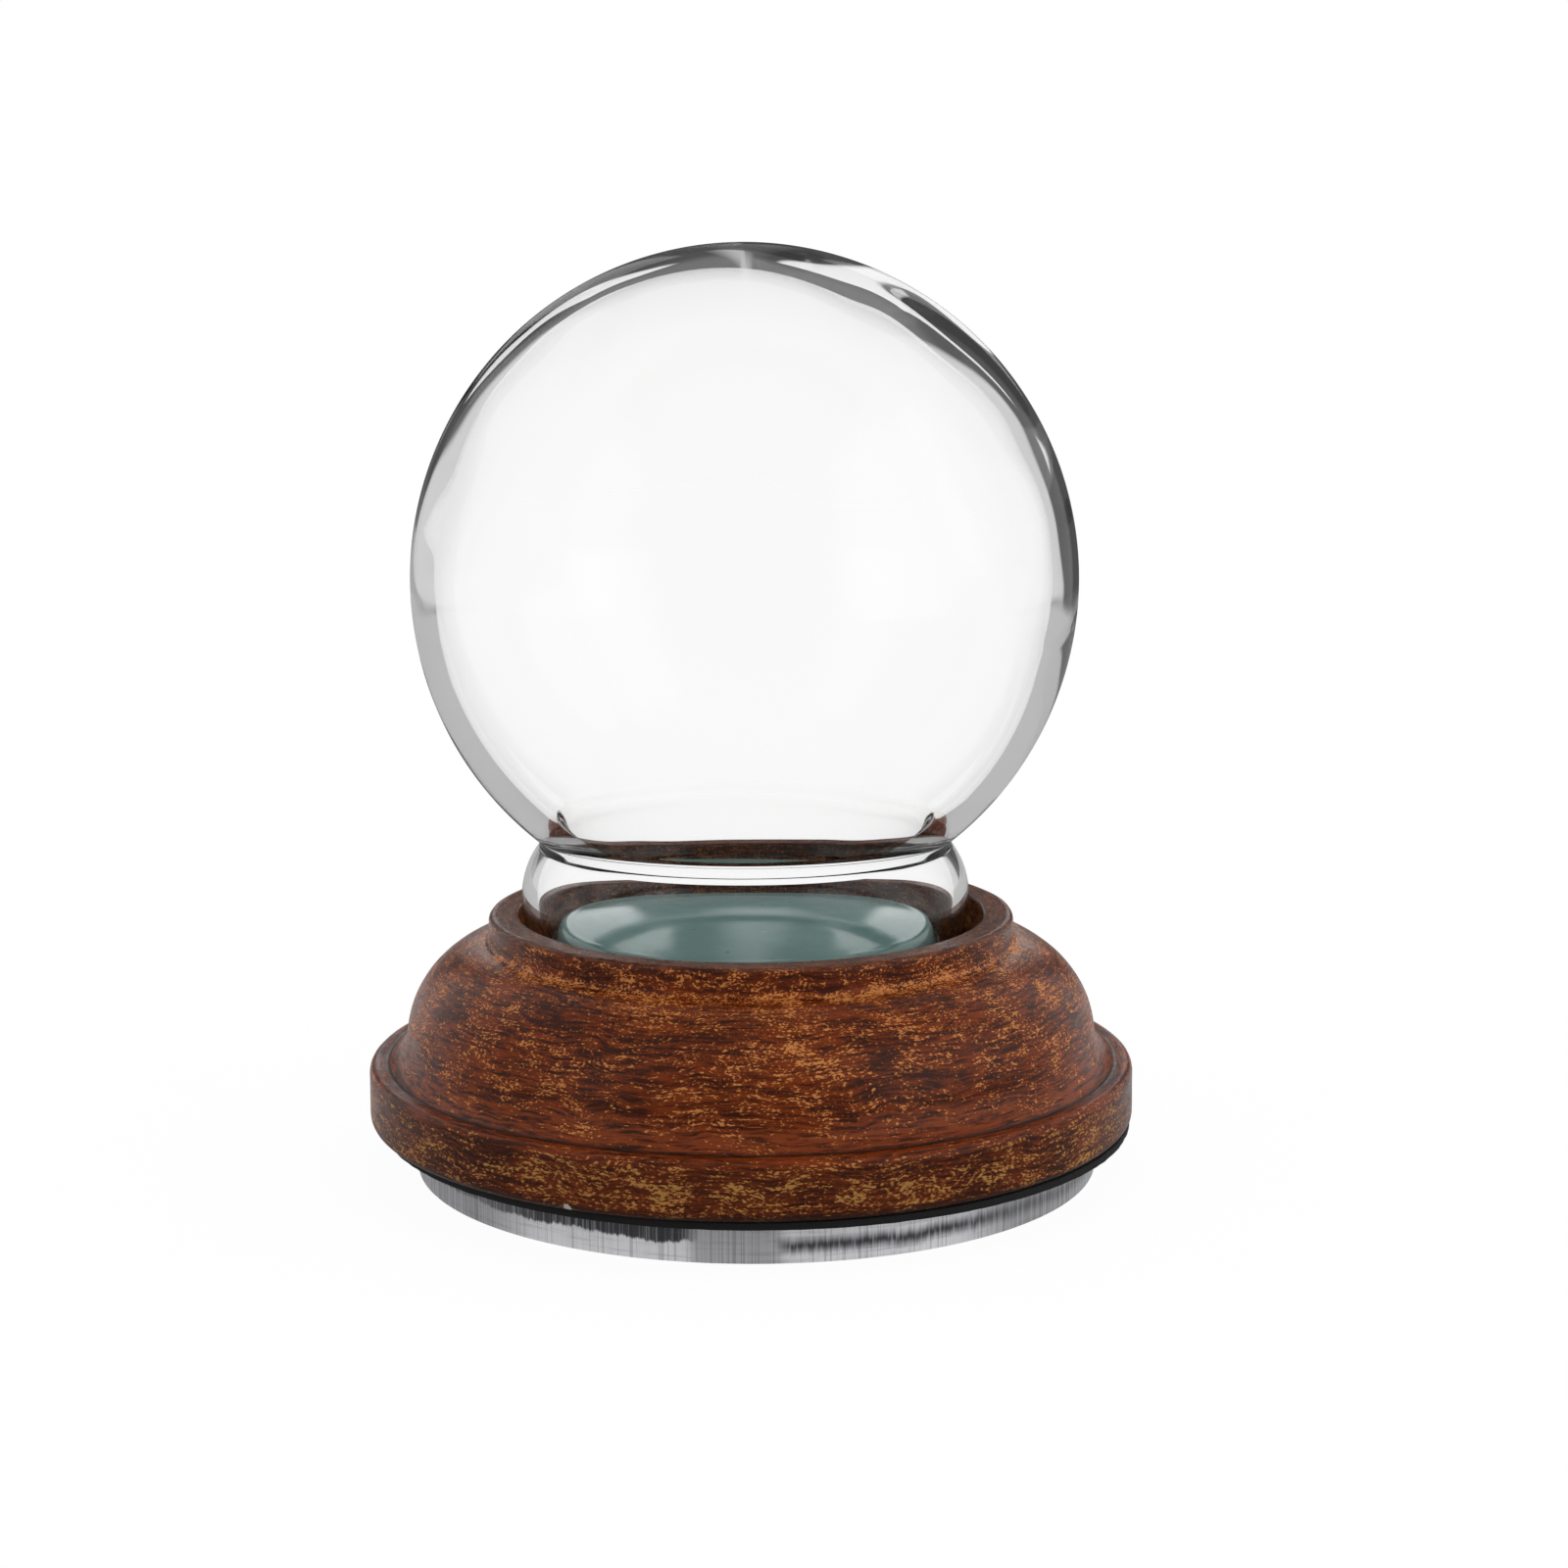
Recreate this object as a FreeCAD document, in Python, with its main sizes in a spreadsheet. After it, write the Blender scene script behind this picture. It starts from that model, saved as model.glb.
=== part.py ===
"""A storm glass: an empty blown-glass globe, closed by a rubber stopper, which stands loose in the
collar of a cast base. The base is stuck to a soft pad, and the pad to a clear disc. Millimetres,
+Z up, with the origin on the axis of the base, level with the flat underside of the disc."""

import FreeCAD
import Part
import Sketcher
import math
import os
import sys

# The driving dimensions. Radii are from each piece's own axis.
DRIVING = {
    "total_height": 88.0,
    # The clear disc and the soft pad that the base stands on, with their adhesive films. They were
    # stuck on by hand, a little off the axis.
    "disc_radius": 33.0,
    "disc_depth": 4.0,
    "pad_radius": 36.3,
    "pad_depth": 0.7,
    "film_depth": 0.1,
    "film_margin": 0.5,
    "foot_shift": 0.5,
    # The base, from its underside up: a band, a cove, a bulge and a collar round the socket.
    "band_radius": 37.0,
    "band_depth": 5.5,
    "band_round": 0.8,
    "cove_outer_radius": 35.3,
    "cove_depth": 3.0,
    "cove_round": 3.7,
    "bulge_radius": 33.3,
    "bulge_depth": 8.4,
    "bulge_round": 9.65,
    "collar_radius": 25.35,
    "collar_depth": 2.8,
    "collar_fillet": 0.5,
    "rim_round": 0.6,
    "rim_inner_round": 0.35,
    "socket_radius": 22.45,
    "socket_depth": 6.1,
    # The stopper: a flange under the glass, and a tapered, crowned plug inside it. The stopper and
    # the globe stand against one side of the socket.
    "globe_shift": -0.55,
    "flange_radius": 21.4,
    "flange_depth": 1.9,
    "flange_round": 0.4,
    "plug_foot_radius": 19.05,
    "plug_top_radius": 18.06,
    "plug_depth": 3.1,
    "plug_corner": 1.0,
    "plug_crown": 1.4,
    # The globe, with its hollow a little above its middle, a thick waist and a barrel-shaped neck.
    "globe_radius": 31.6,
    "globe_wall": 2.0,
    "hollow_rise": 0.3,
    "waist_radius": 19.7,
    "waist_round": 0.6,
    "throat_radius": 17.57,
    "throat_round": 1.8,
    "neck_radius": 21.55,
    "neck_rise": 5.65,
    "neck_lower_round": 11.5,
    "neck_wall": 1.5,
    "lip_gap": 0.1,
}

SHEET = "Sizes"
WHOLE_TURN = 360.0
LEFT = 1
RIGHT = -1
START = 1
END = 2
CENTRE = 3
ORIGIN = (-1, 1)
LEVEL_AXIS = -1
UPRIGHT_AXIS = -2


class Size:
    """A length, together with the sheet formula that gives it."""

    def __init__(self, value, formula):
        self.value = value
        self.formula = formula

    def __add__(self, other):
        return Size(self.value + other.value, f"({self.formula} + {other.formula})")

    def __sub__(self, other):
        return Size(self.value - other.value, f"({self.formula} - {other.formula})")

    def __mul__(self, other):
        return Size(self.value * other.value, f"({self.formula} * {other.formula})")

    def __truediv__(self, other):
        return Size(self.value / other.value, f"({self.formula} / {other.formula})")


ZERO = Size(0.0, "0")
TWO = Size(2.0, "2")
CORNER_EASE = Size(1.25, "1.25")  # how much wider than a quarter round the plug's corner is


def short_side(slant, side):
    """The other short side of a right triangle."""
    square = slant * slant - side * side
    return Size(math.sqrt(square.value), f"sqrt({square.formula})")


def on_line(start, end, part, whole):
    """The point at part / whole of the way from start to end."""
    share = part / whole
    return [a + (b - a) * share for a, b in zip(start, end)]


def fill_sheet(doc):
    """Write the driving dimensions to the sheet, and return each as a Size."""
    sheet = doc.addObject("Spreadsheet::Sheet", SHEET)
    sizes = {}
    for row, (name, value) in enumerate(DRIVING.items(), start=1):
        sheet.set(f"A{row}", name)
        sheet.set(f"B{row}", str(value))
        sheet.setAlias(f"B{row}", name)
        sizes[name] = Size(value, f"{SHEET}.{name}")
    doc.recompute()
    return sizes


def new_body(doc, label, side, height):
    """An empty body that stands a given distance to the side of the axis, at a given height."""
    body = doc.addObject("PartDesign::Body", label)
    body.Label = label
    body.setExpression("Placement.Base.x", side.formula)
    body.setExpression("Placement.Base.z", height.formula)
    return body


def new_sketch(body, plane_role):
    """A sketch on one of the body's own origin planes."""
    plane = next(f for f in body.Origin.OriginFeatures if f.Role == plane_role)
    sketch = body.newObject("Sketcher::SketchObject", f"{body.Name}_sketch")
    sketch.AttachmentSupport = [(plane, "")]
    sketch.MapMode = "FlatFace"
    return sketch


def bind(sketch, size, *constraint):
    """Add a constraint that keeps to its formula in the sheet."""
    index = sketch.addConstraint(Sketcher.Constraint(*constraint, size.value))
    sketch.setExpression(f"Constraints[{index}]", size.formula)


def pin_point(sketch, vertex, point):
    """Hold a vertex of the sketch where the formulas put it."""
    across, up = point
    if across is ZERO:
        sketch.addConstraint(Sketcher.Constraint("PointOnObject", *vertex, UPRIGHT_AXIS))
    else:
        bind(sketch, across, "DistanceX", *ORIGIN, *vertex)
    if up is ZERO:
        sketch.addConstraint(Sketcher.Constraint("PointOnObject", *vertex, LEVEL_AXIS))
    else:
        bind(sketch, up, "DistanceY", *ORIGIN, *vertex)


def arc_through(start, end, radius, turn):
    """The shorter arc from start to end that turns left or right."""
    chord = end - start
    middle = (start + end) / 2
    leftwards = FreeCAD.Vector(-chord.y, chord.x, 0).normalize()
    offset = math.sqrt(radius**2 - (chord.Length / 2) ** 2)
    centre = middle + leftwards * offset * turn
    circle = Part.Circle(centre, FreeCAD.Vector(0, 0, 1), radius)
    first, last = (start, end) if turn == LEFT else (end, start)
    angles = [math.atan2(p.y - centre.y, p.x - centre.x) for p in (first, last)]
    return Part.ArcOfCircle(circle, *angles)


def revolved(body, first, steps):
    """Turn a closed outline about the body's axis. Each step is the next point, and for an arc also
    its radius and its turn. The outline closes with a line back to its first point."""
    sketch = new_sketch(body, "XZ_Plane")
    places = [FreeCAD.Vector(first[0].value, first[1].value, 0)]
    joints = []
    for point, radius, turn in [*steps, (first, None, LEFT)]:
        start = places[-1]
        end = FreeCAD.Vector(point[0].value, point[1].value, 0)
        if radius is None:
            edge = sketch.addGeometry(Part.LineSegment(start, end))
        else:
            edge = sketch.addGeometry(arc_through(start, end, radius.value, turn))
            bind(sketch, radius, "Radius", edge)
        ends = (START, END) if turn == LEFT else (END, START)
        joints.append(((edge, ends[0]), (edge, ends[1])))
        pin_point(sketch, (edge, ends[1]), point)
        places.append(end)
    for (_, arrival), (departure, _) in zip(joints, joints[1:] + joints[:1]):
        sketch.addConstraint(Sketcher.Constraint("Coincident", *arrival, *departure))
    turned = body.newObject("PartDesign::Revolution", f"{body.Name}_turned")
    turned.Profile = sketch
    turned.ReferenceAxis = (sketch, ["V_Axis"])
    turned.Angle = WHOLE_TURN


def line(across, up):
    return ((across, up), None, LEFT)


def arc(across, up, radius, turn):
    return ((across, up), radius, turn)


def round_plate(doc, label, radius, depth, side, height):
    """A flat disc, such as a pad or a film."""
    body = new_body(doc, label, side, height)
    sketch = new_sketch(body, "XY_Plane")
    circle = Part.Circle(FreeCAD.Vector(), FreeCAD.Vector(0, 0, 1), radius.value)
    edge = sketch.addGeometry(circle)
    sketch.addConstraint(Sketcher.Constraint("Coincident", edge, CENTRE, *ORIGIN))
    bind(sketch, radius, "Radius", edge)
    pad = body.newObject("PartDesign::Pad", f"{label}_pad")
    pad.Profile = sketch
    pad.setExpression("Length", depth.formula)


def heights(s):
    """The level of each piece above the origin, and of each edge of the base above its own foot."""
    z = {"disc_film": s["disc_depth"]}
    z["pad"] = z["disc_film"] + s["film_depth"]
    z["pad_film"] = z["pad"] + s["pad_depth"]
    z["base"] = z["pad_film"] + s["film_depth"]
    z["band_top"] = s["band_depth"]
    z["cove_top"] = z["band_top"] + s["cove_depth"]
    z["bulge_top"] = z["cove_top"] + s["bulge_depth"]
    z["rim"] = z["bulge_top"] + s["collar_depth"]
    z["socket_floor"] = z["rim"] - s["socket_depth"]
    z["stopper"] = z["base"] + z["socket_floor"]
    z["globe"] = z["stopper"] + s["flange_depth"] + s["lip_gap"]
    return z


def cast_base(doc, s, z):
    """The base, from its underside round the outside, over the rim and down into the socket."""
    body = new_body(doc, "cast_base", ZERO, z["base"])
    band_edge = s["band_radius"] - s["band_round"]
    rim_edge = s["collar_radius"] - s["rim_round"]
    rim_inside = s["socket_radius"] + s["rim_inner_round"]
    steps = [
        line(band_edge, ZERO),
        arc(s["band_radius"], s["band_round"], s["band_round"], LEFT),
        line(s["band_radius"], z["band_top"] - s["band_round"]),
        arc(band_edge, z["band_top"], s["band_round"], LEFT),
        line(s["cove_outer_radius"], z["band_top"]),
        arc(s["bulge_radius"], z["cove_top"], s["cove_round"], RIGHT),
        arc(s["collar_radius"] + s["collar_fillet"], z["bulge_top"], s["bulge_round"], LEFT),
        arc(
            s["collar_radius"],
            z["bulge_top"] + s["collar_fillet"],
            s["collar_fillet"],
            RIGHT,
        ),
        line(s["collar_radius"], z["rim"] - s["rim_round"]),
        arc(rim_edge, z["rim"], s["rim_round"], LEFT),
        line(rim_inside, z["rim"]),
        arc(s["socket_radius"], z["rim"] - s["rim_inner_round"], s["rim_inner_round"], LEFT),
        line(s["socket_radius"], z["socket_floor"]),
        line(ZERO, z["socket_floor"]),
    ]
    revolved(body, (ZERO, ZERO), steps)


def rubber_stopper(doc, s, z):
    """The stopper, from its underside round the flange, up the tapered plug and over its crown."""
    body = new_body(doc, "rubber_stopper", s["globe_shift"], z["stopper"])
    flange_edge = s["flange_radius"] - s["flange_round"]
    plug_edge = s["flange_depth"] + s["plug_depth"]
    corner = s["plug_corner"]
    plug_foot = [s["plug_foot_radius"], s["flange_depth"]]
    plug_top = [s["plug_top_radius"], plug_edge]
    side_top = on_line(plug_top, plug_foot, corner, s["plug_depth"])
    crown_edge = s["plug_top_radius"] - corner
    crown = s["plug_crown"]
    crown_round = (crown_edge * crown_edge + crown * crown) / (TWO * crown)
    steps = [
        line(flange_edge, ZERO),
        arc(s["flange_radius"], s["flange_round"], s["flange_round"], LEFT),
        line(s["flange_radius"], s["flange_depth"] - s["flange_round"]),
        arc(flange_edge, s["flange_depth"], s["flange_round"], LEFT),
        line(*plug_foot),
        line(*side_top),
        arc(crown_edge, plug_edge, corner * CORNER_EASE, LEFT),
        arc(ZERO, plug_edge + crown, crown_round, LEFT),
    ]
    revolved(body, (ZERO, ZERO), steps)


def barrel_round(side, rise, waist_round):
    """The radius of an arc upright at its foot that meets the waist's round without a corner: the
    waist's centre is to its side and above it."""
    square = side * side + rise * rise - waist_round * waist_round
    return square / (TWO * (waist_round - side))


def glass_globe(doc, s, z):
    """The globe, from its top down the outside, round the lip and back up the inside."""
    body = new_body(doc, "glass_globe", s["globe_shift"], z["globe"])
    radius = s["globe_radius"]
    hollow = radius - s["globe_wall"]
    top = s["total_height"] - z["globe"]
    centre = [ZERO, top - radius]
    hollow_centre = [ZERO, centre[1] + s["hollow_rise"]]
    neck_height = s["neck_rise"]

    # Outside: the waist's round touches the ball, and the neck's round touches the waist's.
    dent = s["waist_round"]
    dent_side = s["waist_radius"] + dent
    dent_centre = [dent_side, centre[1] - short_side(radius + dent, dent_side)]
    ball_end = on_line(centre, dent_centre, radius, radius + dent)
    rise = dent_centre[1] - neck_height
    neck = barrel_round(dent_side - s["neck_radius"], rise, dent)
    neck_centre = [s["neck_radius"] - neck, neck_height]
    neck_start = on_line(neck_centre, dent_centre, neck, neck + dent)

    # The lip is as thick as the neck, and its round touches the lower part of the neck from inside.
    lip = s["neck_wall"] / TWO
    lower = s["neck_lower_round"]
    lower_centre = [s["neck_radius"] - lower, neck_height]
    lip_side = lower_centre[0] + short_side(lower - lip, neck_height - lip)
    lip_centre = [lip_side, lip]
    lip_start = on_line(lower_centre, lip_centre, lower, lower - lip)

    # Inside, the neck's wall is even, and the throat is a little above the waist.
    bore = s["neck_radius"] - s["neck_wall"]
    bore_lower = barrel_round(lip_side - bore, neck_height - lip, lip)
    bore_lower_centre = [bore - bore_lower, neck_height]
    lip_end = on_line(bore_lower_centre, lip_centre, bore_lower, bore_lower + lip)
    throat = s["throat_round"]
    throat_side = s["throat_radius"] + throat
    throat_centre = [throat_side, hollow_centre[1] - short_side(hollow + throat, throat_side)]
    bore_upper = barrel_round(throat_side - bore, throat_centre[1] - neck_height, throat)
    bore_upper_centre = [bore - bore_upper, neck_height]
    bore_end = on_line(bore_upper_centre, throat_centre, bore_upper, bore_upper + throat)
    hollow_start = on_line(hollow_centre, throat_centre, hollow, hollow + throat)

    steps = [
        arc(*ball_end, radius, RIGHT),
        arc(*neck_start, dent, LEFT),
        arc(s["neck_radius"], neck_height, neck, RIGHT),
        arc(*lip_start, lower, RIGHT),
        arc(lip_side, ZERO, lip, RIGHT),
        arc(*lip_end, lip, RIGHT),
        arc(bore, neck_height, bore_lower, LEFT),
        arc(*bore_end, bore_upper, LEFT),
        arc(*hollow_start, throat, RIGHT),
        arc(ZERO, hollow_centre[1] + hollow, hollow, LEFT),
    ]
    revolved(body, (ZERO, top), steps)


def build(doc):
    s = fill_sheet(doc)
    z = heights(s)
    shift = s["foot_shift"]
    film = s["film_depth"]
    disc_film_radius = s["disc_radius"] - s["film_margin"]
    pad_film_radius = s["pad_radius"] - s["film_margin"]
    round_plate(doc, "clear_disc", s["disc_radius"], s["disc_depth"], shift, ZERO)
    round_plate(doc, "disc_adhesive", disc_film_radius, film, shift, z["disc_film"])
    round_plate(doc, "base_pad", s["pad_radius"], s["pad_depth"], shift, z["pad"])
    round_plate(doc, "pad_adhesive", pad_film_radius, film, shift, z["pad_film"])
    cast_base(doc, s, z)
    rubber_stopper(doc, s, z)
    glass_globe(doc, s, z)
    doc.recompute()


def check_and_export(doc):
    """Write one STEP file per body, once every object of the document is sound."""
    for item in doc.Objects:
        if "Invalid" in item.State or "Error" in item.State:
            sys.exit(f"{item.Label} failed: {item.State}")
    bodies = [item for item in doc.Objects if item.TypeId == "PartDesign::Body"]
    for body in bodies:
        if body.Shape.isNull() or not body.Shape.isValid() or len(body.Shape.Solids) != 1:
            sys.exit(f"{body.Label} is not one valid solid")
    os.makedirs("parts", exist_ok=True)
    for body in bodies:
        body.Shape.exportStep(f"parts/{body.Label}.step")
        box = body.Shape.optimalBoundingBox()
        print(
            f"{body.Label}: {body.Shape.Volume:.1f} mm3,",
            f"x {box.XMin:.2f} to {box.XMax:.2f}, z {box.ZMin:.2f} to {box.ZMax:.2f}",
        )


document = FreeCAD.newDocument("storm_glass")
build(document)
check_and_export(document)
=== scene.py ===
"""A storm glass: an empty blown-glass globe with a rubber stopper, standing loose in the collar of
a cast base in antique brown, on a black foam pad and a clear disc. Metres, in the frame's axes."""

import bpy
import math
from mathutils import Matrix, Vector, noise

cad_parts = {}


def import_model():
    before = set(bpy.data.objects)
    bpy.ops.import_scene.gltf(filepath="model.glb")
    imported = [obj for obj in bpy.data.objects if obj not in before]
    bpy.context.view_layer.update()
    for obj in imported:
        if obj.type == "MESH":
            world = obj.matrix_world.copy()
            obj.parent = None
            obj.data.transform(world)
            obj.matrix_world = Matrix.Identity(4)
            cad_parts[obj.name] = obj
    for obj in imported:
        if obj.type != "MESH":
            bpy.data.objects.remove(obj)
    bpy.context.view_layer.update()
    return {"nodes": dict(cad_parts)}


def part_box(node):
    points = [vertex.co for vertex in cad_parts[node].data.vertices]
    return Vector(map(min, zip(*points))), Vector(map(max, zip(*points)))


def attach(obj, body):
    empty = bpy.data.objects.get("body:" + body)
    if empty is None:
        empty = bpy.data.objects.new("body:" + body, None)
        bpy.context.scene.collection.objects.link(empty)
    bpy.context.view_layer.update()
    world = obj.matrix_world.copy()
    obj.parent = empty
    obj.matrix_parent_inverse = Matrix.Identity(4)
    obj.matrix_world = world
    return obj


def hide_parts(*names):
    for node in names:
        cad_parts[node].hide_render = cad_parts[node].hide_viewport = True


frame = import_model()

MM = 0.001
LEFT = 1
RIGHT = -1


# ---------------------------------------------------------------- outlines and turned shapes


def arc_points(start, end, radius, turn, step):
    """Points after start along the shorter arc to end, which turns left or right."""
    start, end = Vector(start), Vector(end)
    chord = end - start
    leftwards = Vector((-chord.y, chord.x)).normalized()
    offset = math.sqrt(max(radius**2 - (chord.length / 2) ** 2, 0.0))
    centre = (start + end) / 2 + leftwards * offset * turn
    first = math.atan2(start.y - centre.y, start.x - centre.x)
    sweep = 2 * math.asin(min(chord.length / 2 / radius, 1.0)) * turn
    count = max(3, round(abs(sweep) * radius / step))
    angles = [first + sweep * (i + 1) / count for i in range(count)]
    return [(centre.x + radius * math.cos(a), centre.y + radius * math.sin(a)) for a in angles]


def line_points(start, end, step):
    """Points after start along the line to end."""
    start, end = Vector(start), Vector(end)
    count = max(1, round((end - start).length / step))
    return [tuple(start.lerp(end, (i + 1) / count)) for i in range(count)]


def outline(first, steps, step):
    """Evenly stepped points of an outline. A step is the next point, or (point, radius, turn)."""
    points = [first]
    for item in steps:
        if isinstance(item[0], tuple):
            end, radius, turn = item
            points += arc_points(points[-1], end, radius, turn, step)
        else:
            points += line_points(points[-1], item, step)
    return points


def turned(name, points, side, segments):
    """A closed mesh from an outline, given from axis to axis, turned about an upright axis."""
    verts, rings = [], []
    for r, z in points:
        if r < 1e-7:
            rings.append([len(verts)])
            verts.append((side, 0.0, z))
        else:
            rings.append(list(range(len(verts), len(verts) + segments)))
            for i in range(segments):
                a = 2 * math.pi * i / segments
                verts.append((side + r * math.cos(a), r * math.sin(a), z))
    faces = []
    for a, b in zip(rings, rings[1:]):
        for i in range(segments):
            j = (i + 1) % segments
            if len(a) == 1:
                faces.append((a[0], b[j], b[i]))
            elif len(b) == 1:
                faces.append((a[i], a[j], b[0]))
            else:
                faces.append((a[i], a[j], b[j], b[i]))
    mesh = bpy.data.meshes.new(name)
    mesh.from_pydata(verts, [], faces)
    mesh.shade_smooth()
    piece = bpy.data.objects.new(name, mesh)
    bpy.context.scene.collection.objects.link(piece)
    return piece


def ripple(place, pitch, seed):
    """A smooth uneven value between -1 and 1, whose bumps are a pitch apart."""
    return noise.noise(Vector(place) / pitch + Vector((seed, 2.3 * seed, -1.7 * seed)))


def reshape(piece, move):
    """Move every vertex of a piece by what move(place) says."""
    for vertex in piece.data.vertices:
        vertex.co += move(vertex.co)
    piece.data.update()


def outward(place, side=0.0):
    """The level direction away from an upright axis."""
    away = Vector((place.x - side, place.y, 0.0))
    return away.normalized() if away.length > 1e-9 else Vector((0.0, 0.0, 0.0))


def finished(piece, node, body):
    """Let a piece stand for a CAD node."""
    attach(piece, body)
    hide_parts(node)
    return piece


# ---------------------------------------------------------------- short ways to write a material


class Graph:
    """The node tree of a new material, or of the world."""

    def __init__(self, name, world=False):
        kind = bpy.data.worlds if world else bpy.data.materials
        self.owner = kind.new(name)
        self.owner.use_nodes = True
        self.tree = self.owner.node_tree
        self.tree.nodes.clear()

    def add(self, kind, values=None, output=0, **settings):
        """A node's output socket. A value is a number, a colour or another node's output."""
        node = self.tree.nodes.new(kind)
        for name, setting in settings.items():
            setattr(node, name, setting)
        for key, value in (values or {}).items():
            if isinstance(value, bpy.types.NodeSocket):
                self.tree.links.new(value, node.inputs[key])
            else:
                node.inputs[key].default_value = value
        return node.outputs[output]

    def maths(self, operation, first, second=0.0):
        return self.add("ShaderNodeMath", {0: first, 1: second}, operation=operation)

    def plus(self, first, second):
        return self.maths("ADD", first, second)

    def minus(self, first, second):
        return self.maths("SUBTRACT", first, second)

    def times(self, first, second):
        return self.maths("MULTIPLY", first, second)

    def vector(self, operation, values, output=0):
        return self.add("ShaderNodeVectorMath", values, output, operation=operation)

    def ramp(self, value, low, high, low_out=0.0, high_out=1.0):
        """A smooth step of a value from low to high."""
        values = {0: value, 1: low, 2: high, 3: low_out, 4: high_out}
        return self.add("ShaderNodeMapRange", values, interpolation_type="SMOOTHSTEP")

    def blend(self, share, first, second):
        """first where share is 0 and second where it is 1."""
        values = {0: share, 6: first, 7: second}
        return self.add("ShaderNodeMix", values, output=2, data_type="RGBA")

    def coat(self, under, paint, where, strength):
        """A paint over what is under it, so strong where `where` is 1 and absent where it is 0."""
        return self.blend(self.times(where, strength), under, paint)

    def mix(self, share, first, second):
        """The same as blend, for plain numbers."""
        return self.add("ShaderNodeMix", {0: share, 2: first, 3: second})

    def near(self, value, middle, width):
        """1 where a value is at the middle, falling to 0 at a width from it."""
        return self.ramp(self.maths("ABSOLUTE", self.minus(value, middle)), width, 0.0)

    def place(self):
        return self.add("ShaderNodeTexCoord", output=3)

    def part(self, vector, axis):
        """One coordinate of a vector: 0, 1 or 2."""
        return self.add("ShaderNodeSeparateXYZ", {0: vector}, output=axis)

    def height(self):
        return self.part(self.place(), 2)

    def level(self):
        """The way out from the upright axis."""
        return self.vector("MULTIPLY", {0: self.place(), 1: (1, 1, 0)})

    def reach(self):
        """The distance from the upright axis."""
        return self.vector("LENGTH", {0: self.level()}, output=1)

    def turned_back(self, limit=0.5):
        """0 for a ray straight from the camera or only through clear pieces, or else 1."""
        depth = self.add("ShaderNodeLightPath", output="Ray Depth")
        passed = self.add("ShaderNodeLightPath", output="Transmission Depth")
        return self.maths("GREATER_THAN", self.minus(depth, passed), limit)

    def noise(self, vector, scale, detail=3.0, roughness=0.5):
        values = {"Vector": vector, "Scale": scale, "Detail": detail, "Roughness": roughness}
        return self.add("ShaderNodeTexNoise", values)

    def round_noise(self, brush, sway=None):
        """Noise in cells that run round the upright axis. The brush says how many cells there are
        to a radian, how high each is, the detail and the roughness, and a shift that makes it
        unlike its neighbours. The sway is added to every level, so rows wander up and down."""
        cells, height, detail, roughness, shift = brush
        along = self.vector("NORMALIZE", {0: self.level()})
        wound = self.vector("SCALE", {0: along, "Scale": cells})
        rise = self.height() if sway is None else self.plus(self.height(), sway)
        up = self.add("ShaderNodeCombineXYZ", {2: self.times(rise, 1 / height)})
        values = {
            "Vector": self.vector("ADD", {0: wound, 1: up}),
            "W": self.plus(self.times(self.reach(), 1 / height), shift),
            "Scale": 1.0,
            "Detail": detail,
            "Roughness": roughness,
        }
        return self.add("ShaderNodeTexNoise", values, noise_dimensions="4D")

    def bump(self, height, distance, strength=1.0):
        values = {"Height": height, "Distance": distance, "Strength": strength}
        return self.add("ShaderNodeBump", values)

    def surface(self, shader, volume=None):
        output = self.tree.nodes.new("ShaderNodeOutputMaterial")
        self.tree.links.new(shader, output.inputs["Surface"])
        if volume is not None:
            self.tree.links.new(volume, output.inputs["Volume"])
        return self.owner


def srgb(red, green, blue):
    """A colour from its 0 to 255 screen values."""
    shares = [c / 255 for c in (red, green, blue)]
    linear = [s / 12.92 if s <= 0.04045 else ((s + 0.055) / 1.055) ** 2.4 for s in shares]
    return tuple(linear + [1])


# ---------------------------------------------------------------- materials

GLASS_IOR = 1.51
ACRYLIC_IOR = 1.49
NEARLY_CLEAR = (0.97, 0.97, 0.97, 1)

# The share that is kept of what bare glass mirrors, except where it mirrors nearly everything.
SLANT_MIRROR = 0.4
SLANT_FROM, SLANT_FULL = 0.8, 0.99
GLASS_TINT = (0.80, 0.87, 0.80, 1)
GLASS_DENSITY = 9.0

# Brush work, as cells to a radian, their height, detail, roughness and shift.
CLOUDS = (4.0, 7 * MM, 3.0, 0.55, 0.0)
PATCHES = (13.0, 1.6 * MM, 3.0, 0.6, 7.0)
STROKES = (10.0, 0.28 * MM, 3.0, 0.6, 13.0)
CRUMBS = (95.0, 0.17 * MM, 2.0, 0.6, 19.0)
SCRATCHES = (8.0, 0.09 * MM, 1.0, 0.5, 41.0)
BRUSH_SWAY = 2.2 * MM

# Where the ochre paint and the brown halo round it begin, on the scale of the brush work.
HALO_FROM, HALO_FULL = 0.49, 0.60
OCHRE_FROM, OCHRE_FULL = 0.59, 0.645

# The paints of the base, and the colours of the painted shade and painted shadow on it.
DARK_BROWN = srgb(66, 26, 9)
RED_BROWN = srgb(146, 60, 15)
# Painted shade on the upright band and collar.
PAINTED_SHADE_BROWN = srgb(56, 26, 14)
COVE_BROWN = srgb(150, 68, 26)
HALO_BROWN = srgb(146, 72, 30)
OCHRE = srgb(238, 154, 84)
BAND_OCHRE = srgb(206, 150, 80)
SCRATCH_OCHRE = srgb(196, 112, 48)
# Dark paint and painted shade in the crease between the cove and the band's top edge.
CREASE_PAINT_AND_SHADE = srgb(34, 20, 16)
# Painted shadow along the bottom edge of the band.
PAINTED_SHADOW_BLACK = srgb(40, 22, 17)
# Painted shade inside the socket.
SOCKET_SHADE_BROWN = srgb(60, 38, 26)
RIM_DARK, RIM_PALE = srgb(76, 40, 26), srgb(132, 84, 60)
CHIP_WHITE = srgb(225, 222, 216)
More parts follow.
